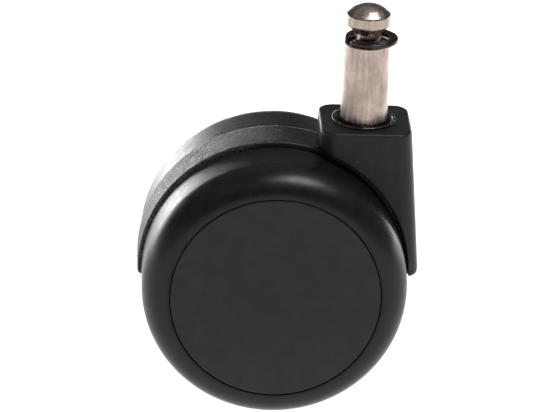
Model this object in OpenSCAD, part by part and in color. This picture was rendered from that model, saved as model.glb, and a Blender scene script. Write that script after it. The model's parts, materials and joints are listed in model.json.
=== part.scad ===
// Twin-wheel chair caster with a hooded housing and a grip-ring stem.
// Millimetres. The origin is on the stem's axis, level with the top of the steel rim round the
// shank's foot, +Z runs up the stem,
// +X runs from the axle towards the stem, and the axle lies along Y. The modules themselves measure
// heights from the neck's top face, and at_origin() sets them down by the height of the rim.

/* [Wheels] */
// Outside diameter of each wheel
wheel_d = 61; // [58:0.5:62]
// Distance between the outer faces of the two wheels
overall_w = 46.8; // [44:0.2:50]
// Gap between the inner faces of the two wheels
wheel_gap = 11.6; // [11.4:0.1:12]
// Width, along the axle, of the rounded shoulder between tread and outer face
shoulder_w = 7.4; // [5:0.1:9]
// Thickness of the soft tread outside the wheel core
tread_t = 4; // [3:0.5:4]
// Diameter of the flush disc that closes the wheel
cap_d = 48.4; // [46:0.2:49]
// Number of ribs inside each wheel core
rib_count = 12; // [8:1:16]

/* [Axle] */
// Diameter of the axle
axle_d = 6; // [5:0.5:6.5]
// Horizontal distance from the stem's axis to the axle
trail = 19.8; // [19:0.1:21]
// Height of the neck's top face above the axle
neck_h = 35.4; // [35:0.1:36.5]

/* [Housing] */
// Width of the hood and web between the wheels
hood_w = 10.8; // [10:0.1:10.8]
// Distance that the hood stands proud of the tread
hood_proud = 0.9; // [0.6:0.1:1.2]
// Thickness of the hood's shell
hood_t = 2.6; // [2:0.1:3]
// Thickness of the web inside the hood
web_t = 6; // [5:0.5:7]
// Front to back size of the neck
neck_depth = 20; // [19:0.5:22]
// Distance from the stem's axis to the neck's wall on the hood side
neck_left = 10.2; // [9.5:0.1:10.6]
// Distance from the stem's axis to the neck's outer wall at the top
neck_right = 10.8; // [10.6:0.1:12.5]
// Outward lean of the neck's outer wall and leg, in degrees
leg_draft = 4.8; // [4:0.1:5.5]
// Height of the leg's tip above the axle
leg_tip_h = 0; // [0:0.1:3]
// Depth below the axle at which the hood's tail ends
tail_drop = 2.3; // [1:0.1:3]

/* [Stem] */
// Diameter of the stem's shank, which goes into the chair's leg
stem_d = 10.9; // [10.8:0.05:11.2]
// Height of the shank's shoulder above the neck
shank_h = 19.2; // [18:0.1:23]
// Overall height of the stem above the neck
stem_h = 28.3; // [27:0.1:33]
// Diameter of the stem's head
head_d = 10.5; // [9.5:0.05:10.8]
// Diameter of the groove under the head
groove_d = 6; // [5.6:0.1:6.2]
// Diameter of the lower journal on which the housing swivels
journal_d = 6.5; // [6:0.1:6.5]

/* [Grip ring] */
// Outside diameter of the ring as squeezed in the chair's socket
ring_od = 11.4; // [11.2:0.05:11.4]
// Inside diameter of the ring
ring_id = 8; // [8:0.05:8.6]
// Height of the ring
ring_t = 1.3; // [1:0.1:1.6]
// Sideways rest offset of the loose ring in its groove
ring_shift = 0.95; // [0.5:0.05:0.95]
// Width of the ring's split
ring_split = 2.2; // [1:0.1:3]

/* [Hidden] */
$fn = 96;

run_gap = 0.05;      // radial clearance of a running fit
seat_gap = 0.02;     // radial clearance of a fixed seat
face_play = 0.1;     // end play between turning faces
cut = 1;             // how far a cutting tool runs past a face
front = 1;           // side multiplier of the wheel nearer -Y
back = -1;           // side multiplier of the wheel nearer +Y

wheel_r = wheel_d / 2;
cap_r = cap_d / 2;
axle_r = axle_d / 2;
tyre_in = wheel_gap / 2;         // inner face of each wheel, measured from the middle plane
tyre_out = overall_w / 2;        // outer face of each wheel
core_r = wheel_r - tread_t;
cap_t = 1.6;
cap_edge_r = 0.4;
tread_edge_r = 1;
face_depth = tyre_out - cap_t;   // seat of the cap
rim_t = 2.5;
rim_in_r = core_r - rim_t;
core_slope = core_r - cap_r;
disc_in = tyre_in + 0.6;
disc_t = 2;
rib_t = 1.6;
rib_top = tyre_out - 5;
hub_r = 7;
washer_t = 0.5;
hub_in = hood_w / 2 + washer_t + face_play;
hub_out = 17;
bush_r = axle_r + 1.1;
bush_flange_r = axle_r + 2.5;
bush_flange_t = 0.7;
washer_r = axle_r + 3;
spigot_t = 1.6;
spigot_h = 2.6;
bead_r = 0.25;
clip_t = 0.6;
clip_lug_r = 5;
axle_half = 19.5;
axle_groove_r = axle_r - 0.7;
axle_clip_at = hub_out + face_play + washer_t + 0.05;
end_chamfer = 0.4;

hood_r = wheel_r + hood_proud;
hood_half = hood_w / 2;
tyre_room_r = wheel_r + 1.1;     // the neck and leg clear the tread outside this radius,
tyre_room_at = [-0.6, 0.8];      // measured about this point from the axle, so that the
                                 // clearance grows from the leg's tip up to the neck
neck_corner_r = 3.6;
boss_r = 8.5;
hood_rib_t = 1.6;
hood_rib_angles = [105, 135, 165];
post_half = 7.5;
post_bottom = -33;
window_half = 5.6;
window_top = -26.5;
window_bottom = -31.5;

socket_depth = 6.4;
sleeve_r = stem_d / 2 + 1;
sleeve_flange_r = 7.35;
sleeve_flange_t = 0.6;
sleeve_mouth_r = 6.8;
sleeve_mouth_depth = 1.6;
thrust_t = 0.8;
journal_r = journal_d / 2;
pivot_r = journal_r + run_gap + 0.7;
journal_end = -29.5;
stem_clip_top = window_top - 0.25;
stem_groove_r = journal_r - 0.7;
groove_top = shank_h + 2.3;
head_base = shank_h + 3.8;
head_side = shank_h + 4.6;
dome_base = shank_h + 6.8;
ring_split_at = 200;             // direction in which the ring's split faces, in degrees
stem_r = stem_d / 2;
seated_r = stem_r - 0.35;        // the part of the stem that turns in the sleeve
head_r = head_d / 2;
dome_h = stem_h - dome_base;
dome_r = (head_r * head_r + dome_h * dome_h) / (2 * dome_h);
dome_sweep = asin(head_r / dome_r);

leg_tip_z = -neck_h + leg_tip_h;
tail_r = hood_t / 2;

// Points on an elliptical arc about [cx, cy] from angle a0 to a1, in n steps
function oval_arc(cx, cy, rx, ry, a0, a1, n) =
    [for (i = [0:n]) let (a = a0 + (a1 - a0) * i / n) [cx + rx * cos(a), cy + ry * sin(a)]];

// Points on a round arc about [cx, cy]
function arc(cx, cy, r, a0, a1, n) = oval_arc(cx, cy, r, r, a0, a1, n);

// Sets down a part drawn from the neck's top face by the height of the rim
module at_origin() {
    translate([0, 0, -sleeve_flange_t]) children();
}

// Turns a profile drawn in radius and distance from the middle plane about the axle
module on_axle(side) {
    translate([-trail, 0, -neck_h]) rotate([side * 90, 0, 0]) children();
}

// Extrudes an outline drawn in X and Z to a half width each side of the middle plane
module slab(half) {
    translate([0, half, 0]) rotate([90, 0, 0]) linear_extrude(2 * half) children();
}

// A plain ring on the axle between two distances from the middle plane
module axle_ring(side, inner_r, outer_r, from, to) {
    on_axle(side) translate([0, 0, from]) difference() {
        cylinder(r = outer_r, h = to - from);
        translate([0, 0, -cut]) cylinder(r = inner_r, h = to - from + 2 * cut);
    }
}

// A snap-on clip with three lugs and an open side
module e_clip(inner_r, outer_r, t) {
    linear_extrude(t) difference() {
        circle(r = outer_r);
        circle(r = inner_r);
        translate([0, -inner_r]) square([outer_r + cut, 2 * inner_r]);
        for (a = [120, 240]) rotate(a) translate([inner_r + 0.6, -0.9]) square([outer_r, 1.8]);
    }
}

// ---------- housing ----------

module at_axle() {
    translate([-trail, -neck_h]) children();
}

// Plan of a block with round corners, from x0 to x1
module neck_plan(x0, x1) {
    half = neck_depth / 2 - neck_corner_r;
    for (x = [x0 + neck_corner_r, x1 - neck_corner_r], y = [-half, half])
        translate([x, y]) circle(r = neck_corner_r);
    translate([x0, -half]) square([x1 - x0, 2 * half]);
    translate([x0 + neck_corner_r, -neck_depth / 2])
        square([x1 - x0 - 2 * neck_corner_r, neck_depth]);
}

// A block with round corners, leaning outwards on the leg's side, cut away round the wheels
module neck() {
    block_h = 50;
    difference() {
        intersection() {
            translate([0, 0, -block_h]) linear_extrude(block_h) neck_plan(-neck_left, 40);
            translate([neck_right, 0, 0]) rotate([0, -leg_draft, 0])
                translate([0, 0, -block_h]) linear_extrude(block_h + 10) neck_plan(-60, 0);
        }
        slab(neck_depth) at_axle() translate(tyre_room_at) circle(r = tyre_room_r);
        translate([-50, -neck_depth, leg_tip_z - block_h]) cube([100, 2 * neck_depth, block_h]);
    }
}

// Everything of the hood above the level at which its tail ends
module hood_side() {
    difference() {
        at_axle() circle(r = hood_r);
        translate([-100, -neck_h - 100 - tail_drop + tail_r]) square([200, 100]);
    }
    at_axle() translate([-hood_r + tail_r, -tail_drop + tail_r]) circle(r = tail_r);
}

// Joins the hood to the wide neck and leg over the hood's own width
module leg_root() {
    intersection() {
        slab(hood_half) difference() {
            translate([-neck_left + cut, leg_tip_z]) square([40, -leg_tip_z - cut]);
            at_axle() circle(r = hood_r - hood_t);
        }
        translate([neck_right, 0, 0]) rotate([0, -leg_draft, 0])
            translate([-60, -neck_depth / 2, -50]) cube([60, neck_depth, 60]);
    }
}

module hood() {
    slab(hood_half) difference() {
        hood_side();
        at_axle() circle(r = hood_r - hood_t);
    }
    slab(web_t / 2) intersection() {
        hood_side();
        at_axle() circle(r = hood_r - 1);
    }
    slab(hood_half) at_axle() circle(r = boss_r);
    slab(hood_half) intersection() {
        at_axle() circle(r = hood_r - 1);
        translate([-post_half, post_bottom]) square([2 * post_half, -post_bottom]);
    }
    slab(hood_half) for (a = hood_rib_angles) at_axle() rotate(a)
        translate([boss_r - 1, -hood_rib_t / 2]) square([hood_r - boss_r - 1, hood_rib_t]);
}

module housing() {
    color([0.11, 0.11, 0.11]) difference() {
        union() {
            hood();
            leg_root();
            neck();
        }
        translate([0, 0, -socket_depth]) cylinder(r = sleeve_r + seat_gap, h = socket_depth + cut);
        translate([0, 0, window_top - cut]) cylinder(r = pivot_r + seat_gap, h = -window_top);
        translate([-window_half, -hood_w, window_bottom])
            cube([2 * window_half, 2 * hood_w, window_top - window_bottom]);
        on_axle(front) translate([0, 0, -hood_w])
            cylinder(r = axle_r + seat_gap, h = 2 * hood_w);
    }
}

// ---------- swivel ----------

module socket_sleeve() {
    color([0.2, 0.2, 0.2]) rotate_extrude() polygon([
        [seated_r + run_gap, -socket_depth + thrust_t],
        [sleeve_r, -socket_depth + thrust_t],
        [sleeve_r, 0],
        [sleeve_flange_r, 0],
        [sleeve_flange_r, sleeve_flange_t - 0.2],
        [sleeve_flange_r - 0.2, sleeve_flange_t],
        [sleeve_mouth_r, sleeve_flange_t],
        [seated_r + run_gap, -sleeve_mouth_depth]
    ]);
}

module thrust_washer() {
    color("gainsboro") translate([0, 0, -socket_depth]) difference() {
        cylinder(r = sleeve_r - 0.1, h = thrust_t - 0.05);
        translate([0, 0, -cut]) cylinder(r = journal_r + 0.3, h = thrust_t + 2 * cut);
    }
}

module pivot_bush() {
    color("peru") translate([0, 0, window_top]) difference() {
        cylinder(r = pivot_r, h = -window_top - socket_depth);
        translate([0, 0, -cut]) cylinder(r = journal_r + run_gap, h = -window_top);
    }
}

module stem() {
    shoulder_z = -socket_depth + thrust_t + face_play;
    color([0.72, 0.66, 0.64]) rotate_extrude() polygon(concat(
        [[0, journal_end], [journal_r - end_chamfer, journal_end],
         [journal_r, journal_end + end_chamfer],
         [journal_r, stem_clip_top - clip_t - 0.05], [stem_groove_r, stem_clip_top - clip_t - 0.05],
         [stem_groove_r, stem_clip_top + 0.05], [journal_r, stem_clip_top + 0.05],
         [journal_r, shoulder_z], [seated_r, shoulder_z],
         [seated_r, sleeve_flange_t], [stem_r, sleeve_flange_t],
         [stem_r, shank_h - 0.5], [stem_r - 0.5, shank_h], [groove_d / 2, shank_h],
         [groove_d / 2, groove_top], [head_r - 0.5, head_base], [head_r, head_side]],
        arc(0, stem_h - dome_r, dome_r, 90 - dome_sweep, 90, 16)
    ));
}

module stem_clip() {
    color("dimgray") translate([0, 0, stem_clip_top - clip_t])
        e_clip(stem_groove_r + 0.05, clip_lug_r, clip_t);
}

module grip_ring() {
    bevel = 0.35;
    color([0.2, 0.2, 0.21]) translate([ring_shift, 0, shank_h + face_play]) difference() {
        rotate_extrude() polygon([
            [ring_id / 2, 0], [ring_od / 2 - bevel, 0], [ring_od / 2, bevel],
            [ring_od / 2, ring_t - bevel], [ring_od / 2 - bevel, ring_t], [ring_id / 2, ring_t]
        ]);
        rotate(ring_split_at) translate([0, -ring_split / 2, -cut]) cube([ring_od, ring_split, ring_t + 2 * cut]);
    }
}

// ---------- axle and wheels ----------

module axle() {
    color("silver") for (side = [front, back]) on_axle(side) rotate_extrude() polygon([
        [0, 0], [axle_r, 0],
        [axle_r, axle_clip_at - 0.05], [axle_groove_r, axle_clip_at - 0.05],
        [axle_groove_r, axle_clip_at + clip_t + 0.05], [axle_r, axle_clip_at + clip_t + 0.05],
        [axle_r, axle_half - end_chamfer], [axle_r - end_chamfer, axle_half], [0, axle_half]
    ]);
}

module wheel_core(side) {
    bead_z = face_depth - 1.4;
    color([0.16, 0.16, 0.16]) on_axle(side) difference() {
        union() {
            rotate_extrude() polygon([
                [rim_in_r, tyre_in], [core_r - seat_gap, tyre_in],
                [core_r - seat_gap, face_depth - core_slope],
                [cap_r - seat_gap, face_depth], [rim_in_r, face_depth],
                [rim_in_r, bead_z + 2 * bead_r], [rim_in_r + bead_r, bead_z + bead_r],
                [rim_in_r + bead_r, bead_z - bead_r], [rim_in_r, bead_z - 2 * bead_r]
            ]);
            translate([0, 0, disc_in]) cylinder(r = rim_in_r + cut, h = disc_t);
            translate([0, 0, hub_in]) cylinder(r = hub_r, h = hub_out - hub_in);
            for (i = [0:rib_count - 1]) rotate(i * 360 / rib_count)
                translate([hub_r - 1, -rib_t / 2, disc_in + disc_t / 2])
                    cube([rim_in_r - hub_r + 2, rib_t, rib_top - disc_in - disc_t / 2]);
        }
        cylinder(r = bush_r + seat_gap, h = overall_w);
        translate([0, 0, hub_in - cut])
            cylinder(r = bush_flange_r + seat_gap, h = bush_flange_t + cut);
    }
}

module tyre(side) {
    color([0.09, 0.09, 0.09]) on_axle(side) rotate_extrude() polygon(concat(
        [[core_r, tyre_in]],
        arc(wheel_r - tread_edge_r, tyre_in + tread_edge_r, tread_edge_r, -90, 0, 6),
        oval_arc(cap_r, tyre_out - shoulder_w, wheel_r - cap_r, shoulder_w, 0, 90, 20),
        [[cap_r, face_depth], [core_r, face_depth - core_slope]]
    ));
}

module wheel_cap(side) {
    edge = cap_r - 0.1;
    bead_z = face_depth - 1.4;
    spigot_r = rim_in_r - 0.05;
    color([0.17, 0.17, 0.165]) on_axle(side) rotate_extrude() polygon(concat(
        [[0, face_depth], [spigot_r - spigot_t, face_depth],
         [spigot_r - spigot_t, face_depth - spigot_h], [spigot_r - 0.5, face_depth - spigot_h],
         [spigot_r, face_depth - spigot_h + 0.5], [spigot_r, bead_z - bead_r],
         [spigot_r + bead_r, bead_z], [spigot_r, bead_z + bead_r], [spigot_r, face_depth],
         [edge, face_depth]],
        arc(edge - cap_edge_r, tyre_out - cap_edge_r, cap_edge_r, 0, 90, 6),
        [[0, tyre_out]]
    ));
}

module bush(side) {
    color("ivory") on_axle(side) rotate_extrude() polygon([
        [axle_r + run_gap, hub_in], [bush_flange_r, hub_in],
        [bush_flange_r, hub_in + bush_flange_t], [bush_r, hub_in + bush_flange_t],
        [bush_r, hub_out], [axle_r + run_gap, hub_out]
    ]);
}

module hub_washer(side) {
    color("silver")
        axle_ring(side, axle_r + run_gap, washer_r, hood_half, hood_half + washer_t);
}

module outer_washer(side) {
    color("silver")
        axle_ring(side, axle_r + run_gap, washer_r, hub_out + face_play,
                  hub_out + face_play + washer_t);
}

module axle_clip(side) {
    color("dimgray") on_axle(side) translate([0, 0, axle_clip_at]) rotate(90)
        e_clip(axle_groove_r + 0.05, clip_lug_r, clip_t);
}

at_origin() housing();
at_origin() socket_sleeve();
at_origin() thrust_washer();
at_origin() pivot_bush();
at_origin() stem();
at_origin() stem_clip();
at_origin() grip_ring();
at_origin() axle();
at_origin() wheel_core(front);  // front_wheel_core
at_origin() tyre(front);  // front_tyre
at_origin() wheel_cap(front);  // front_cap
at_origin() bush(front);  // front_bush
at_origin() hub_washer(front);  // front_hub_washer
at_origin() outer_washer(front);  // front_outer_washer
at_origin() axle_clip(front);  // front_axle_clip
at_origin() wheel_core(back);  // back_wheel_core
at_origin() tyre(back);  // back_tyre
at_origin() wheel_cap(back);  // back_cap
at_origin() bush(back);  // back_bush
at_origin() hub_washer(back);  // back_hub_washer
at_origin() outer_washer(back);  // back_outer_washer
at_origin() axle_clip(back);  // back_axle_clip
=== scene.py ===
import json
import math

import bpy
import bmesh
import numpy as np
from mathutils import Matrix, Vector


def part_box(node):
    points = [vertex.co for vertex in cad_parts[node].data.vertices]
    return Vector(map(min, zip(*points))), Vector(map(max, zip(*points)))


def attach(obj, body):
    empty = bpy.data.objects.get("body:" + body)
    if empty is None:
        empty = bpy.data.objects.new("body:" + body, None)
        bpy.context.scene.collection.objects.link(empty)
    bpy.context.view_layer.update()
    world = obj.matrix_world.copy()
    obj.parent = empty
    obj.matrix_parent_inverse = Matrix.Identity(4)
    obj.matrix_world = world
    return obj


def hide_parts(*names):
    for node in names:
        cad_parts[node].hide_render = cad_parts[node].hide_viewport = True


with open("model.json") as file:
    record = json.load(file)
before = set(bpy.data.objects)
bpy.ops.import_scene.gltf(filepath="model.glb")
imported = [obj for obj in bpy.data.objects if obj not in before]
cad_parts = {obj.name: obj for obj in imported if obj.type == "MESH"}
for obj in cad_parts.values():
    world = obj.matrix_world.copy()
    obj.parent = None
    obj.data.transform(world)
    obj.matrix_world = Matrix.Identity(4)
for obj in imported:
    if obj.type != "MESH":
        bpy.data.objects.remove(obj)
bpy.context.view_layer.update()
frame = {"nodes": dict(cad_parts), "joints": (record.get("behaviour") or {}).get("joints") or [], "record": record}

MM = 0.001
JOINTS = {j["name"]: j for j in frame["joints"]}
AXLE = Vector(JOINTS["front_wheel_spin"]["pos_m"])
TAU = 2 * math.pi

# Shapes are worked out in mm. The frame, and every length in a material, is in metres.
RIM_TOP = 0.6                      # the frame's origin lies this far above the neck's top face


# ---------------------------------------------------------------- meshes

FILLET_SHARE = 0.48                # the most of a side that one fillet may take up
SHARP = math.radians(32)           # edges that turn more than this are drawn sharp
FLAT_WEIGHT = 80                   # how strongly the large faces decide the normals


def link(name, mesh, body, material, stands_for=()):
    obj = bpy.data.objects.new(name, mesh)
    bpy.context.scene.collection.objects.link(obj)
    obj.data.materials.clear()
    obj.data.materials.append(material)
    if body:
        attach(obj, body)
    if stands_for:
        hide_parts(*stands_for)
    return obj


def rounded(points, closed=True, steps=5):
    """A profile [(radius, height, fillet)] with each corner turned into an arc of that fillet."""
    out, n = [], len(points)
    for i, (r, h, fillet) in enumerate(points):
        p = np.array([r, h], float)
        if fillet <= 0 or (not closed and i in (0, n - 1)):
            out.append(tuple(p))
            continue
        a = np.array(points[i - 1][:2], float) - p
        b = np.array(points[(i + 1) % n][:2], float) - p
        la, lb = np.linalg.norm(a), np.linalg.norm(b)
        a, b = a / la, b / lb
        half = math.acos(max(-1.0, min(1.0, float(a @ b)))) / 2
        if half > math.pi / 2 - 1e-3:
            out.append(tuple(p))
            continue
        back = min(fillet / math.tan(half), FILLET_SHARE * la, FILLET_SHARE * lb)
        radius = back * math.tan(half)
        mid = (a + b) / np.linalg.norm(a + b)
        centre = p + mid * radius / math.sin(half)
        start, end = p + a * back - centre, p + b * back - centre
        a0 = math.atan2(start[1], start[0])
        sweep = math.atan2(end[1], end[0]) - a0
        sweep = (sweep + math.pi) % TAU - math.pi
        for k in range(steps + 1):
            t = a0 + sweep * k / steps
            out.append((centre[0] + radius * math.cos(t), centre[1] + radius * math.sin(t)))
    return out


def revolve(name, profile, turns=192, closed=True):
    """Spins a profile [(radius, height)] in mm about Z. A point on the axis becomes one vertex."""
    bm = bmesh.new()
    rings = []
    for r, h in profile:
        if r < 1e-6:
            rings.append([bm.verts.new((0, 0, h * MM))])
        else:
            rings.append([bm.verts.new((r * MM * math.cos(TAU * k / turns),
                                        r * MM * math.sin(TAU * k / turns), h * MM))
                          for k in range(turns)])
    count = len(rings) if closed else len(rings) - 1
    for i in range(count):
        a, b = rings[i], rings[(i + 1) % len(rings)]
        if len(a) == 1 and len(b) == 1:
            continue
        for k in range(turns):
            m = (k + 1) % turns
            if len(a) == 1:
                bm.faces.new((a[0], b[m], b[k]))
            elif len(b) == 1:
                bm.faces.new((a[k], a[m], b[0]))
            else:
                bm.faces.new((a[k], a[m], b[m], b[k]))
    bmesh.ops.recalc_face_normals(bm, faces=bm.faces)
    return smooth_mesh(name, bm)


def smooth_mesh(name, bm):
    """Turns a bmesh into a smooth-shaded mesh with its sharp edges marked."""
    mesh = bpy.data.meshes.new(name)
    bm.normal_update()
    for f in bm.faces:
        f.smooth = True
    for e in bm.edges:
        if len(e.link_faces) == 2 and e.calc_face_angle(0) > SHARP:
            e.smooth = False
    bm.to_mesh(mesh)
    bm.free()
    return mesh


def weighted(obj):
    """Keeps flat faces flat where they meet a fillet."""
    m = obj.modifiers.new("flat_faces", "WEIGHTED_NORMAL")
    m.keep_sharp = True
    m.weight = FLAT_WEIGHT
    return obj


def on_axle(mesh, side):
    """Stands a mesh spun about Z on the axle, its height running outwards; side -1 is the front."""
    turn = Matrix.Rotation(math.radians(-90 * side), 4, "X")
    mesh.transform(Matrix.Translation(AXLE) @ turn)
    return mesh


# ---------------------------------------------------------------- solid modelling by distance

DRAWN_IN = 5                       # passes that draw the vertices onto the surface
MOST_MOVE = 0.7                    # the furthest they may go from their start, in cells
LEAST_SLOPE = 0.2                  # keeps a pass from leaping where the field is flat


def both(a, b, r):
    """Intersection of two distance fields with an outside edge rounded to radius r."""
    u, v = np.maximum(r + a, 0), np.maximum(r + b, 0)
    return np.minimum(-r, np.maximum(a, b)) + np.sqrt(u * u + v * v)


def either(a, b, r):
    """Union of two distance fields with the inside corner filled to radius r."""
    return -both(-a, -b, r)


def round_box(x, y, x0, x1, half_y, corner):
    """Distance to a rectangle from x0 to x1, half_y each way, with round corners."""
    qx = np.abs(x - (x0 + x1) / 2) - (x1 - x0) / 2 + corner
    qy = np.abs(y) - half_y + corner
    outside = np.sqrt(np.maximum(qx, 0) ** 2 + np.maximum(qy, 0) ** 2)
    return outside + np.minimum(np.maximum(qx, qy), 0) - corner


def surface(name, field, lo, hi, cell):
    """Closed quad mesh of a distance field in mm, its vertices drawn onto the surface and its
    normals taken from the field."""
    lo, hi = np.array(lo, float), np.array(hi, float)
    n = np.ceil((hi - lo) / cell).astype(int) + 1
    axes = [lo[i] + cell * np.arange(n[i]) for i in range(3)]
    gx, gy, gz = np.meshgrid(*axes, indexing="ij", sparse=True)
    s = field(gx, gy, gz)
    inside = s < 0
    total = np.zeros(tuple(n - 1), np.int8)
    corners = [(i, j, k) for i in (0, 1) for j in (0, 1) for k in (0, 1)]
    for i, j, k in corners:
        total += inside[i:n[0] - 1 + i, j:n[1] - 1 + j, k:n[2] - 1 + k]
    cells = (total > 0) & (total < 8)
    at = np.argwhere(cells)
    index = -np.ones(cells.shape, int)
    index[cells] = np.arange(len(at))
    acc, hits = np.zeros((len(at), 3)), np.zeros(len(at))
    for axis in range(3):
        for c in corners:
            if c[axis]:
                continue
            d = list(c)
            d[axis] = 1
            a = s[tuple((at + c).T)]
            b = s[tuple((at + d).T)]
            crossing = (a < 0) != (b < 0)
            t = np.where(crossing, a / np.where(crossing, a - b, 1), 0)
            p = np.tile(np.array(c, float), (len(at), 1))
            p[:, axis] = t
            acc[crossing] += p[crossing]
            hits[crossing] += 1
    pts = lo + (at + acc / hits[:, None]) * cell

    def value(p):
        return field(p[:, 0], p[:, 1], p[:, 2])

    def gradient(p, h=0.01):
        g = np.zeros_like(p)
        for axis in range(3):
            e = np.zeros(3)
            e[axis] = h
            g[:, axis] = (value(p + e) - value(p - e)) / (2 * h)
        return g

    start = pts.copy()
    for _ in range(DRAWN_IN):
        g = gradient(pts)
        step = g * (value(pts) / np.maximum((g * g).sum(1), LEAST_SLOPE))[:, None]
        pts = pts - step
        pts = start + np.clip(pts - start, -MOST_MOVE * cell, MOST_MOVE * cell)
    quads = []
    for axis in range(3):
        o1, o2 = [i for i in range(3) if i != axis]
        sl_a = [slice(None)] * 3
        sl_b = [slice(None)] * 3
        sl_a[axis], sl_b[axis] = slice(0, -1), slice(1, None)
        a, b = inside[tuple(sl_a)], inside[tuple(sl_b)]
        e = np.argwhere(a != b)
        e = e[(e[:, o1] > 0) & (e[:, o2] > 0) & (e[:, o1] < n[o1] - 1) & (e[:, o2] < n[o2] - 1)]
        first = a[tuple(e.T)]
        q = []
        for d1, d2 in ((-1, -1), (0, -1), (0, 0), (-1, 0)):
            c = e.copy()
            c[:, o1] += d1
            c[:, o2] += d2
            q.append(index[tuple(c.T)])
        q = np.stack(q, 1)
        flip = first if axis != 1 else ~first
        q[~flip] = q[~flip][:, ::-1]
        quads.append(q)
    quads = np.concatenate(quads)
    mesh = bpy.data.meshes.new(name)
    mesh.vertices.add(len(pts))
    mesh.vertices.foreach_set("co", (pts * MM).astype(np.float32).ravel())
    mesh.loops.add(quads.size)
    mesh.loops.foreach_set("vertex_index", quads.astype(np.int32).ravel())
    mesh.polygons.add(len(quads))
    mesh.polygons.foreach_set("loop_start", (np.arange(len(quads)) * 4).astype(np.int32))
    mesh.update(calc_edges=True)
    mesh.validate()
    mesh.polygons.foreach_set("use_smooth", np.ones(len(mesh.polygons), bool))
    g = gradient(pts)
    g /= np.maximum(np.linalg.norm(g, axis=1), 1e-9)[:, None]
    mesh.normals_split_custom_set_from_vertices([tuple(v) for v in g])
    return mesh


# ---------------------------------------------------------------- materials

class Net:
    """A little shorthand for wiring shader nodes."""

    def __init__(self, name):
        self.mat = bpy.data.materials.new(name)
        self.mat.use_nodes = True
        self.tree = self.mat.node_tree
        self.tree.nodes.clear()
        out = self.tree.nodes.new("ShaderNodeOutputMaterial")
        self.bsdf = self.tree.nodes.new("ShaderNodeBsdfPrincipled")
        self.link(self.bsdf.outputs[0], out.inputs[0])
        self.coord = self.tree.nodes.new("ShaderNodeTexCoord").outputs["Object"]

    def node(self, kind, **settings):
        n = self.tree.nodes.new(kind)
        for k, v in settings.items():
            setattr(n, k, v)
        return n

    def link(self, a, b):
        self.tree.links.new(a, b)

    def stretch(self, scale):
        n = self.node("ShaderNodeMapping")
        n.inputs["Scale"].default_value = scale
        self.link(self.coord, n.inputs["Vector"])
        return n.outputs[0]

    def noise(self, scale, detail=4, rough=0.55, vector=None):
        n = self.node("ShaderNodeTexNoise")
        n.inputs["Scale"].default_value = scale
        n.inputs["Detail"].default_value = detail
        n.inputs["Roughness"].default_value = rough
        self.link(vector or self.coord, n.inputs["Vector"])
        return n.outputs["Fac"]

    def cells(self, scale):
        n = self.node("ShaderNodeTexVoronoi")
        n.inputs["Scale"].default_value = scale
        self.link(self.coord, n.inputs["Vector"])
        return n.outputs["Distance"]

    def span(self, value, low, high, to_low=0.0, to_high=1.0):
        n = self.node("ShaderNodeMapRange")
        n.interpolation_type = "SMOOTHSTEP"
        for key, v in zip(("From Min", "From Max", "To Min", "To Max"),
                          (low, high, to_low, to_high)):
            n.inputs[key].default_value = v
        self.link(value, n.inputs["Value"])
        return n.outputs[0]

    def math(self, op, a, b):
        n = self.node("ShaderNodeMath", operation=op)
        for i, v in enumerate((a, b)):
            if isinstance(v, (int, float)):
                n.inputs[i].default_value = v
            else:
                self.link(v, n.inputs[i])
        return n.outputs[0]

    def mix(self, fac, a, b):
        n = self.node("ShaderNodeMix", data_type="RGBA")
        for key, v in ((0, fac), (6, a), (7, b)):
            if isinstance(v, (tuple, list)):
                n.inputs[key].default_value = (*v, 1)
            elif isinstance(v, (int, float)):
                n.inputs[key].default_value = v
            else:
                self.link(v, n.inputs[key])
        return n.outputs[2]

    def edges(self):
        """High along worn outside edges."""
        g = self.node("ShaderNodeNewGeometry").outputs["Pointiness"]
        return self.span(g, 0.52, 0.6)

    def split(self):
        """The point's own X, Y and Z in the object."""
        n = self.node("ShaderNodeSeparateXYZ")
        self.link(self.coord, n.inputs[0])
        return n.outputs

    def blend_of(self, a, share_a, b, share_b):
        return self.math("ADD", self.math("MULTIPLY", a, share_a), self.math("MULTIPLY", b, share_b))

    def bump(self, height, strength, distance, under=None):
        n = self.node("ShaderNodeBump")
        n.inputs["Strength"].default_value = strength
        n.inputs["Distance"].default_value = distance
        self.link(height, n.inputs["Height"])
        if under is not None:
            self.link(under, n.inputs["Normal"])
        return n.outputs[0]

    def set(self, **values):
        for key, v in values.items():
            socket = self.bsdf.inputs[key.replace("_", " ")]
            if isinstance(v, (int, float)):
                socket.default_value = v
            elif isinstance(v, (tuple, list)):
                socket.default_value = (*v, 1)
            else:
                self.link(v, socket)
        return self.mat


DUST = (0.16, 0.15, 0.14)
# In metres along X, the hood's coarse grain and its painted glints are full as far as the first and gone by the
# second.
GRAIN_FULL, GRAIN_GONE = -0.034, -0.012
NECK_GLOSS = 0.62                  # the smooth neck's specular level as a share of the hood's


def lighter(color, times, add=0.0):
    return tuple(min(1, times * c + add) for c in color)


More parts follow.
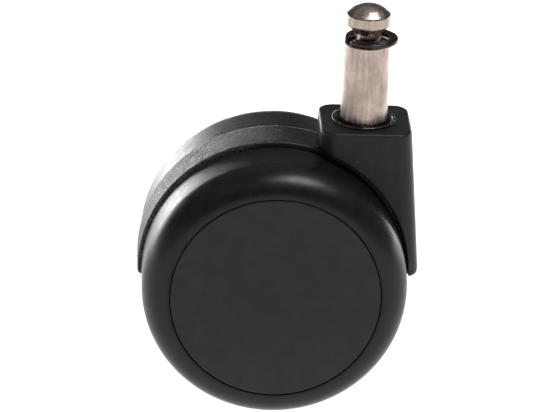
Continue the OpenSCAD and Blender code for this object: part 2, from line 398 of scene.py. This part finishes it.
def plastic(name, dark, light, rough, grain_scale, grain_depth, spec=0.5, dust=0.0, coarse=None):
    """Moulded plastic: mottled colour, fine grain, scuffed edges and a little dust. coarse is
    (grain depth, added roughness) of the spark-eroded grain left of the neck, where lighter flecks are also laid
    on as painted glints."""
    n = Net(name)
    mottle = n.blend_of(n.noise(220, 5), 0.6, n.noise(2600, 3, 0.7), 0.4)
    tone = n.mix(n.span(mottle, 0.38, 0.62), dark, light)
    fluff = n.span(n.math("MULTIPLY", n.noise(900, 8, 0.72), n.noise(140, 3)), 0.27, 0.42, 0.0, dust)
    tone = n.mix(fluff, tone, DUST)
    tone = n.mix(n.math("MULTIPLY", n.edges(), 0.35), tone, lighter(light, 2.6, 0.012))
    rough_map = n.math("ADD", n.span(n.noise(420, 6, 0.65), 0.3, 0.7, rough - 0.05, rough + 0.06),
                       n.math("MULTIPLY", fluff, 0.25))
    normal = n.bump(n.noise(grain_scale, 3, 0.6), 0.55, grain_depth)
    normal = n.bump(n.noise(90, 2), 0.25, 0.00012, normal)
    if coarse:
        depth, added_rough = coarse
        along = n.split()["X"]
        hood = n.span(along, GRAIN_FULL, GRAIN_GONE, 1.0, 0.0)
        spark = n.math("ADD", n.noise(1900, 4, 0.7), n.cells(2300))
        normal = n.bump(n.math("MULTIPLY", spark, hood), 0.8, depth, normal)
        rough_map = n.math("ADD", rough_map, n.math("MULTIPLY", hood, added_rough))
        # painted glints: lighter flecks where the coarse grain lies on the hood's lit left side, partly the
        # grain's tone and partly the grain catching the light
        glint_flecks = n.span(n.noise(1500, 4, 0.75), 0.48, 0.62)
        tone = n.mix(n.math("MULTIPLY", hood, glint_flecks), tone, lighter(light, 5))
        spec = n.span(along, GRAIN_FULL, GRAIN_GONE, spec, NECK_GLOSS * spec)
    return n.set(Base_Color=tone, Roughness=rough_map, Normal=normal, Specular_IOR_Level=spec)


def metal(name, dark, light, rough, streaks, streak_scale, pit, depth=0.00004):
    """Plated or bare metal: drawn streaks, stains, pits, and brighter worn edges. streaks
    stretches the streak pattern along each axis."""
    n = Net(name)
    lines = n.noise(streak_scale, 5, 0.62, n.stretch(streaks))
    mottle = n.blend_of(lines, 0.5, n.noise(170, 5, 0.6), 0.5)
    tone = n.mix(n.span(mottle, 0.36, 0.64), dark, light)
    spots = n.span(n.cells(1500), 0.0, 0.22, 1.0, 0.0)
    chance = n.span(n.noise(520, 2), 0.55, 0.62)
    pits = n.math("MULTIPLY", n.math("MULTIPLY", spots, chance), pit)
    tone = n.mix(pits, tone, lighter(dark, 0.28))
    tone = n.mix(n.math("MULTIPLY", n.edges(), 0.4), tone, lighter(light, 1.25, 0.02))
    rough_map = n.math("ADD", n.span(lines, 0.3, 0.7, rough - 0.06, rough + 0.08),
                       n.math("MULTIPLY", pits, 0.3))
    height = n.math("SUBTRACT", n.math("MULTIPLY", lines, 0.6), pits)
    return n.set(Base_Color=tone, Roughness=rough_map, Metallic=1.0,
                 Normal=n.bump(height, 0.6, depth))


SLOTS = {
    "black_nylon": plastic("moulded_nylon", (0.010, 0.010, 0.009), (0.017, 0.0165, 0.015),
                           0.40, 3800, 0.00002, spec=0.45, dust=0.15, coarse=(0.00020, 0.06)),
    "soft_tread": plastic("soft_tread", (0.0065, 0.0066, 0.0057), (0.0105, 0.0106, 0.0094),
                          0.31, 5200, 0.00001, spec=0.30),
    "cap_plastic": plastic("cap_plastic", (0.0145, 0.0150, 0.0130), (0.0195, 0.0200, 0.0174),
                           0.50, 3600, 0.00002, spec=0.35, dust=0.02),
    "core_nylon": plastic("core_nylon", (0.016, 0.016, 0.017), (0.028, 0.028, 0.029),
                          0.5, 3000, 0.00004, dust=0.3),
    "satin_nickel": metal("satin_nickel", (0.34, 0.268, 0.232), (0.60, 0.492, 0.432),
                          0.29, (1, 1, 0.10), 1300, 1.0, depth=0.000012),
    "spring_steel": metal("spring_steel", (0.026, 0.021, 0.019), (0.065, 0.055, 0.050),
                          0.30, (1, 1, 0.3), 1200, 0.4),
    "dark_steel": metal("dark_steel", (0.05, 0.048, 0.047), (0.14, 0.135, 0.13),
                        0.27, (1, 1, 0.4), 1100, 0.4),
    "zinc_steel": metal("zinc_steel", (0.42, 0.43, 0.45), (0.62, 0.63, 0.64),
                        0.3, (1, 1, 1), 900, 0.3),
    "bronze": metal("sintered_bronze", (0.27, 0.16, 0.075), (0.45, 0.29, 0.15),
                    0.42, (1, 1, 1), 2600, 0.9),
    "acetal": plastic("natural_acetal", (0.60, 0.585, 0.53), (0.72, 0.70, 0.64),
                      0.35, 3000, 0.00001),
}
slot_of = {row["node"]: row["material_slot"] for row in frame["record"]["subparts"]}
for node, obj in frame["nodes"].items():
    obj.data.materials.clear()
    obj.data.materials.append(SLOTS[slot_of[node]])


# ---------------------------------------------------------------- the wheels

tyre_lo, tyre_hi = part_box("front_tyre")
WHEEL_R = (tyre_hi.z - tyre_lo.z) / 2 / MM
TYRE_IN = -tyre_hi.y / MM
TYRE_OUT = -tyre_lo.y / MM
CAP_R = 24.2                       # the round opening that the disc fills
CORE_R = 26.5                      # where the tread meets the wheel's core
SHOULDER = 7.4                     # how far in from the face the tread starts to round over
SHOULDER_END = math.radians(86)
CORNER = 1                         # radius of the tread's inner corner
LIP = 0.12                         # the tread's small lip round the disc
FACE = TYRE_OUT - 1.6              # the seat behind the disc
DISC_GAP, DISC_SINK = 0.1, 0.02    # the disc's gap all round, and how far it lies below the tread
DISC_RIM = 1.2                     # width of the disc's softened edge
SPIGOT_R, SPIGOT_WALL, SPIGOT_H = 23.95, 1.6, 2.6
TURNS = 256


def tyre_profile():
    pts = [(CORE_R, TYRE_IN)]
    pts += [(WHEEL_R - CORNER + CORNER * math.sin(a), TYRE_IN + CORNER - CORNER * math.cos(a))
            for a in np.linspace(0, math.pi / 2, 7)]
    pts += [(WHEEL_R, z) for z in np.linspace(TYRE_IN + CORNER, TYRE_OUT - SHOULDER, 6)[1:-1]]
    pts += [(CAP_R + (WHEEL_R - CAP_R) * math.cos(a), TYRE_OUT - SHOULDER + SHOULDER * math.sin(a))
            for a in np.linspace(0, SHOULDER_END, 34)]
    lip_h = pts[-1][1]
    pts += [(CAP_R + LIP, lip_h - 0.06), (CAP_R, lip_h - 0.28)]
    pts += [(CAP_R, FACE), (CORE_R, FACE - (CORE_R - CAP_R))]
    return pts


def cap_profile():
    """The disc's flat face ends in rings of points, so that its shading stays even."""
    edge, top = CAP_R - DISC_GAP, TYRE_OUT - DISC_SINK
    inner, outer = SPIGOT_R - SPIGOT_WALL, SPIGOT_R - 0.05
    pts = rounded([(0, FACE, 0), (inner, FACE, 0.2), (inner, FACE - SPIGOT_H, 0.2),
                   (SPIGOT_R - 0.4, FACE - SPIGOT_H, 0.3), (outer, FACE - 1, 0.1),
                   (outer, FACE, 0), (edge, FACE, 0.15), (edge, TYRE_OUT - 0.05, 0.38),
                   (edge - DISC_RIM, top, 0.4)], closed=False)
    return pts + [(r, top) for r in (20, 16.5, 13, 9.5, 6, 3, 1, 0)]


for side, sign in (("front", -1), ("back", 1)):
    mesh = on_axle(revolve(f"{side}_tread_skin", tyre_profile(), TURNS), sign)
    weighted(link(f"{side}_tread_skin", mesh, f"{side}_wheel", SLOTS["soft_tread"],
                  [f"{side}_tyre"]))
    mesh = on_axle(revolve(f"{side}_disc", cap_profile(), TURNS, closed=False), sign)
    weighted(link(f"{side}_disc", mesh, f"{side}_wheel", SLOTS["cap_plastic"],
                  [f"{side}_cap"]))


# ---------------------------------------------------------------- the housing

AX, AZ = AXLE.x / MM, AXLE.z / MM + RIM_TOP      # the axle, measured from the neck's top face
HOOD_R, HOOD_T, HOOD_HALF, HOOD_EDGE = 31.4, 2.6, 5.4, 0.45
TAIL_DROP, TAIL_R = 2.3, 1.3                     # how far the hood's tail ends below the axle
NECK_LEFT, NECK_RIGHT, NECK_HALF, NECK_CORNER = 10.2, 10.72, 10.0, 3.6
NECK_TOP_EDGE, LEG_FOOT_EDGE = 0.6, 1.15
DRAFT = math.radians(4.8)                        # the leg leans out by this much as it goes down
ROOM_R, ROOM_X, ROOM_Z = 31.6, AX - 0.6, AZ + 0.8    # the space kept clear for the treads
WEB_HALF, BOSS_R = 3, 8.5
POST_HALF, POST_FOOT = 7.5, -33                  # the post round the pivot
RIB_ANGLES, RIB_START, RIB_HALF = (105, 135, 165), 7.5, 0.8
LAP = 1                                          # how far one solid runs into the next
SLEEVE_BORE_R, SLEEVE_BORE_FLOOR = 6.47, -6.4
PIVOT_BORE_R, PIVOT_BORE_FLOOR = 4.02, -27.5
CLIP_ROOM_HALF, CLIP_ROOM_Z, CLIP_ROOM_RISE = 5.6, -29, 2.5
AXLE_BORE_R = 3.02
FAR = 60                                         # beyond every side of the neck
CELL, MARGIN = 0.34, 1.0                         # the mesh's grid, and the room round it


def neck_field(x, y, z):
    """The neck and the leg that runs down from it, cut away in front of the treads."""
    lean_x = (x - NECK_RIGHT) * math.cos(DRAFT) + z * math.sin(DRAFT)
    plan = np.maximum(round_box(x, y, -NECK_LEFT, FAR, NECK_HALF, NECK_CORNER),
                      round_box(lean_x, y, -FAR, 0, NECK_HALF, NECK_CORNER))
    neck = both(plan, z, NECK_TOP_EDGE)
    room = ROOM_R - np.sqrt((x - ROOM_X) ** 2 + (z - ROOM_Z) ** 2)
    neck = both(neck, room, HOOD_EDGE)
    return both(neck, AZ - z, LEG_FOOT_EDGE), lean_x


def hood_field(dx, z, around, across_y, tail_z):
    """A shell over the gap between the wheels, with a round tail."""
    shell = np.maximum(around - HOOD_R, HOOD_R - HOOD_T - around)
    shell = np.maximum(shell, tail_z - z)
    tip = np.sqrt((dx + HOOD_R - TAIL_R) ** 2 + (z - tail_z) ** 2) - TAIL_R
    return both(np.minimum(shell, tip), across_y, HOOD_EDGE)


def inside_field(x, dx, dz, z, ay, around, across_y, tail_z):
    """The web, boss, post and ribs inside the hood."""
    web = np.maximum(np.maximum(around - HOOD_R + LAP, tail_z - z), ay - WEB_HALF)
    boss = both(around - BOSS_R, across_y, 0.4)
    post = np.maximum(np.maximum(np.abs(x) - POST_HALF, POST_FOOT - z), around - HOOD_R + LAP)
    post = both(post, across_y, 0.3)
    inner = either(web, either(boss, post, 0.5), 0.5)
    for deg in RIB_ANGLES:
        c, s = math.cos(math.radians(deg)), math.sin(math.radians(deg))
        along, across = dx * c + dz * s, np.abs(-dx * s + dz * c)
        rib = np.maximum(np.maximum(RIB_START - along, along - HOOD_R + LAP), across - RIB_HALF)
        inner = either(inner, both(rib, across_y, 0.2), 0.35)
    return inner


def housing_field(x, y, z):
    z = z + RIM_TOP
    dx, dz = x - AX, z - AZ
    around = np.sqrt(dx * dx + dz * dz)
    ay = np.abs(y)
    across_y = ay - HOOD_HALF
    tail_z = AZ - TAIL_DROP + TAIL_R
    neck, lean_x = neck_field(x, y, z)
    hood = hood_field(dx, z, around, across_y, tail_z)
    # what joins the hood to the wide neck and leg
    root = np.maximum(np.maximum(-NECK_LEFT + LAP - x, lean_x), np.maximum(AZ - z, z + LAP))
    root = np.maximum(root, HOOD_R - HOOD_T - around)
    root = both(root, across_y, HOOD_EDGE)
    solid = either(either(hood, root, 0.2), neck, 0.55)
    solid = either(solid, inside_field(x, dx, dz, z, ay, around, across_y, tail_z), 0.4)
    # bores for the sleeve, the pivot and the axle, and the room for the stem's clip
    off_axis = np.sqrt(x * x + y * y)
    solid = both(solid, -np.maximum(off_axis - SLEEVE_BORE_R, SLEEVE_BORE_FLOOR - z), 0.12)
    solid = np.maximum(solid, -np.maximum(off_axis - PIVOT_BORE_R, PIVOT_BORE_FLOOR - z))
    clip_room = np.maximum(np.abs(x) - CLIP_ROOM_HALF, np.abs(z - CLIP_ROOM_Z) - CLIP_ROOM_RISE)
    solid = np.maximum(solid, -clip_room)
    return both(solid, AXLE_BORE_R - around, 0.15)


house_lo, house_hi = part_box("housing")
mesh = surface("hood_and_neck", housing_field, [c / MM - MARGIN for c in house_lo],
               [c / MM + MARGIN for c in house_hi], CELL)
link("hood_and_neck", mesh, "housing", SLOTS["black_nylon"], ["housing"])


# ---------------------------------------------------------------- stem, rim and grip ring

sleeve_lo, sleeve_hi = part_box("socket_sleeve")
RIM_R = sleeve_hi.x / MM
SLEEVE_FOOT = sleeve_lo.z / MM
SLEEVE_IN, SLEEVE_OUT = 5.16, 6.44
MOUTH_R, MOUTH_DEPTH = 6.8, 1.6
rim = rounded([(SLEEVE_IN, SLEEVE_FOOT, 0), (SLEEVE_OUT, SLEEVE_FOOT, 0.1), (SLEEVE_OUT, -RIM_TOP, 0),
               (RIM_R, -RIM_TOP, 0.1), (RIM_R, 0, 0.2), (MOUTH_R, 0, 0.15),
               (SLEEVE_IN, -RIM_TOP - MOUTH_DEPTH, 0.3)])
weighted(link("steel_rim", revolve("steel_rim", rim, 144), "housing",
              SLOTS["dark_steel"], ["socket_sleeve"]))

stem_lo, stem_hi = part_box("stem")
FOOT, TOP = stem_lo.z / MM, stem_hi.z / MM
SHANK = 19.2 - RIM_TOP
STEM_R, SEATED_R, HEAD_R, NECKLET = 5.45, 5.1, 5.25, 3.0
SEAT = -6.1                                      # the shoulder that carries the load
JOURNAL_R, CLIP_GROOVE_R = 3.25, 2.55
CLIP_GROOVE_FOOT, CLIP_GROOVE_TOP = -28.1, -27.3
HEAD_FOOT, HEAD_SIDE, HEAD_TOP = SHANK + 2.3, SHANK + 4.3, SHANK + 6.8
PIP = 0.05                                       # the turning pip in the middle of the dome
DOME_SHARE = 0.68                                # the rest of the dome's arc is the rounded side
dome_h = TOP - PIP - HEAD_TOP
dome_r = (HEAD_R ** 2 + dome_h ** 2) / (2 * dome_h)
sweep = math.asin(HEAD_R / dome_r)
dome = [(dome_r * math.sin(a), TOP - PIP - dome_r + dome_r * math.cos(a), 0)
        for a in np.linspace(sweep * DOME_SHARE, 0.09, 12)]
stem_pts = rounded([(0, FOOT, 0), (JOURNAL_R, FOOT, 0.4), (JOURNAL_R, CLIP_GROOVE_FOOT, 0.05),
                    (CLIP_GROOVE_R, CLIP_GROOVE_FOOT, 0.05), (CLIP_GROOVE_R, CLIP_GROOVE_TOP, 0.05),
                    (JOURNAL_R, CLIP_GROOVE_TOP, 0.05), (JOURNAL_R, SEAT, 0.15),
                    (SEATED_R, SEAT, 0.15), (SEATED_R, 0, 0), (STEM_R, 0, 0.08),
                    (STEM_R, SHANK, 0.5), (NECKLET, SHANK, 0.15), (NECKLET, HEAD_FOOT, 0.5),
                    (HEAD_R, HEAD_SIDE, 1.1), (HEAD_R, HEAD_TOP, 0.75)] + dome
                   + [(0.3, TOP - 0.04, 0), (0.2, TOP - 0.01, 0), (0, TOP, 0)],
                   closed=False, steps=8)
weighted(link("plated_stem", revolve("plated_stem", stem_pts, 160, closed=False), "stem",
              SLOTS["satin_nickel"], ["stem"]))


def split_ring(name, inner, outer, low, high, gap_mm, gap_deg, offset, steps=150):
    """A flat spring ring with rounded edges and bevelled ends either side of its split."""
    section = rounded([(inner, low, 0.2), (outer, low, 0.35), (outer, high, 0.35),
                       (inner, high, 0.2)], steps=4)
    mid = ((inner + outer) / 2, (low + high) / 2)
    half_gap = gap_mm / 2 / mid[0]
    bm = bmesh.new()
    rings = []
    start = math.radians(gap_deg) + half_gap
    sweep_a = TAU - 2 * half_gap
    for k in range(steps + 1):
        a = start + sweep_a * k / steps
        ends = min(k, steps - k)
        shrink = {0: 0.82, 1: 0.95}.get(ends, 1.0)
        ring = []
        for r, h in section:
            r = mid[0] + (r - mid[0]) * shrink
            h = mid[1] + (h - mid[1]) * shrink
            x, y = r * math.cos(a) + offset, r * math.sin(a)
            ring.append(bm.verts.new((x * MM, y * MM, h * MM)))
        rings.append(ring)
    m = len(section)
    for a, b in zip(rings, rings[1:]):
        for i in range(m):
            j = (i + 1) % m
            bm.faces.new((a[i], b[i], b[j], a[j]))
    bm.faces.new(rings[0])
    bm.faces.new(list(reversed(rings[-1])))
    bmesh.ops.recalc_face_normals(bm, faces=bm.faces)
    return smooth_mesh(name, bm)


# The ring is drawn free, so it is wider than the squeezed ring of the frame, and slightly thinner.
ring_lo, ring_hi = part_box("grip_ring")
RING_IN, RING_FREE_R, RING_SHIFT, RING_THINNER = 4.0, 6.15, 0.95, 0.2
RING_GAP, RING_GAP_DEG = 2.2, 200
mesh = split_ring("spring_ring", RING_IN, RING_FREE_R, ring_lo.z / MM, ring_hi.z / MM - RING_THINNER,
                  RING_GAP, RING_GAP_DEG, RING_SHIFT)
weighted(link("spring_ring", mesh, "ring", SLOTS["spring_steel"], ["grip_ring"]))


# ---------------------------------------------------------------- floor, light and camera

# From here on, lengths are in metres.
FLOOR_HALF, FLOOR_DROP = 6.0, 0.0002
SHADE_AT, SHADE_R = (AXLE.x, -0.104, 0), 0.072   # a painted shadow: a soft patch of weaker glow in front of the wheels
SHADE_LOW, FLOOR_GLOW = 0.30, 1.08
# painted light: the floor's glow grows by the last amount from the first distance behind the wheels to the second
BRIGHT_FROM, BRIGHT_TO, BRIGHT_ADDED = 0.06, 0.40, 3.6


def floor():
    """A floor that glows by itself though it is no lamp, which is painted light. The glow isn't even: it is weaker
    on a patch in front of the wheels, a painted shadow, and stronger further back, a painted pool of light in
    place of the room that gloss would reflect."""
    bm = bmesh.new()
    bmesh.ops.create_grid(bm, x_segments=8, y_segments=8, size=FLOOR_HALF)
    bmesh.ops.translate(bm, verts=bm.verts, vec=(0, 0, tyre_lo.z - FLOOR_DROP))
    mesh = bpy.data.meshes.new("floor")
    bm.to_mesh(mesh)
    bm.free()
    n = Net("glowing_floor")
    place = n.split()
    flat = n.node("ShaderNodeCombineXYZ")
    n.link(place["X"], flat.inputs[0])
    n.link(place["Y"], flat.inputs[1])
    away = n.node("ShaderNodeVectorMath", operation="DISTANCE")
    n.link(flat.outputs[0], away.inputs[0])
    away.inputs[1].default_value = SHADE_AT
    # painted shadow: the glow falls to SHADE_LOW at the patch's middle
    shade = n.span(away.outputs["Value"], 0.0, SHADE_R, SHADE_LOW, FLOOR_GLOW)
    # painted light: a stronger glow further back
    behind = n.span(place["Y"], BRIGHT_FROM, BRIGHT_TO, 0.0, BRIGHT_ADDED)
    n.set(Base_Color=n.mix(n.noise(3, 3), (0.10, 0.10, 0.10), (0.12, 0.12, 0.12)), Roughness=0.9,
          Emission_Color=(1, 1, 1), Specular_IOR_Level=0.0,
          Emission_Strength=n.math("ADD", shade, behind))
    obj = bpy.data.objects.new("floor", mesh)
    obj.data.materials.append(n.mat)
    bpy.context.scene.collection.objects.link(obj)


def softbox(name, place, aim, width, height, watts):
    data = bpy.data.lights.new(name, "AREA")
    data.shape = "RECTANGLE"
    data.size = width
    data.size_y = height
    data.energy = watts
    obj = bpy.data.objects.new(name, data)
    obj.location = place
    obj.rotation_mode = "QUATERNION"
    obj.rotation_quaternion = (Vector(aim) - Vector(place)).to_track_quat("-Z", "Y")
    obj.visible_camera = False
    bpy.context.scene.collection.objects.link(obj)


def sky():
    """A dim studio, its brightness set by height alone: from straight down (0) to straight up (1)."""
    world = bpy.data.worlds.new("studio")
    bpy.context.scene.world = world
    world.use_nodes = True
    tree = world.node_tree
    tree.nodes.clear()
    out = tree.nodes.new("ShaderNodeOutputWorld")
    background = tree.nodes.new("ShaderNodeBackground")
    direction = tree.nodes.new("ShaderNodeTexCoord")
    split = tree.nodes.new("ShaderNodeSeparateXYZ")
    height = tree.nodes.new("ShaderNodeMapRange")
    ramp = tree.nodes.new("ShaderNodeValToRGB")
    height.inputs["From Min"].default_value = -1
    height.inputs["From Max"].default_value = 1
    background.inputs["Strength"].default_value = 1.0
    tree.links.new(direction.outputs["Generated"], split.inputs[0])
    tree.links.new(split.outputs["Z"], height.inputs["Value"])
    tree.links.new(height.outputs[0], ramp.inputs[0])
    tree.links.new(ramp.outputs[0], background.inputs[0])
    tree.links.new(background.outputs[0], out.inputs[0])
    low, high = ramp.color_ramp.elements
    low.position, low.color = 0.0, (1, 1, 1, 1)
    high.position, high.color = 1.0, (0.06, 0.06, 0.06, 1)
    for level, v in ((0.50, 0.4), (0.56, 0.3), (0.62, 0.07), (0.80, 0.10), (0.90, 0.32)):
        ramp.color_ramp.elements.new(level).color = (v, v, v, 1)


floor()
middle = Vector((AXLE.x, 0, -0.02))
softbox("overhead", middle + Vector((0.243, -0.18, 0.848)), middle, 0.40, 0.26, 4.6)
softbox("backdrop", (-0.40, 0.80, 0.0), (-0.02, 0, 0.0), 0.9, 0.18, 3.0)
sky()

# The camera stands in front of the wheels and looks down on them.
AZIMUTH, ELEVATION, ROLL = (math.radians(v) for v in (-2.8714, 22.0598, 2.3087))
DISTANCE, LENS = 1.0, 282.1
target = AXLE + Vector((0.00019, 0, 0.01336))
back = Vector((math.sin(AZIMUTH) * math.cos(ELEVATION), -math.cos(AZIMUTH) * math.cos(ELEVATION),
               math.sin(ELEVATION)))
right = Vector((0, 0, 1)).cross(back).normalized()
up = back.cross(right)
cam_x = right * math.cos(ROLL) + up * math.sin(ROLL)
cam_y = up * math.cos(ROLL) - right * math.sin(ROLL)
cam = bpy.data.objects.new("camera", bpy.data.cameras.new("camera"))
cam.data.lens = LENS
cam.data.clip_start, cam.data.clip_end = 0.05, 30
cam.matrix_world = Matrix.Translation(target + back * DISTANCE) @ Matrix(
    (cam_x, cam_y, back)).transposed().to_4x4()
bpy.context.scene.collection.objects.link(cam)
bpy.context.scene.camera = cam
bpy.context.scene.view_settings.view_transform = "Standard"
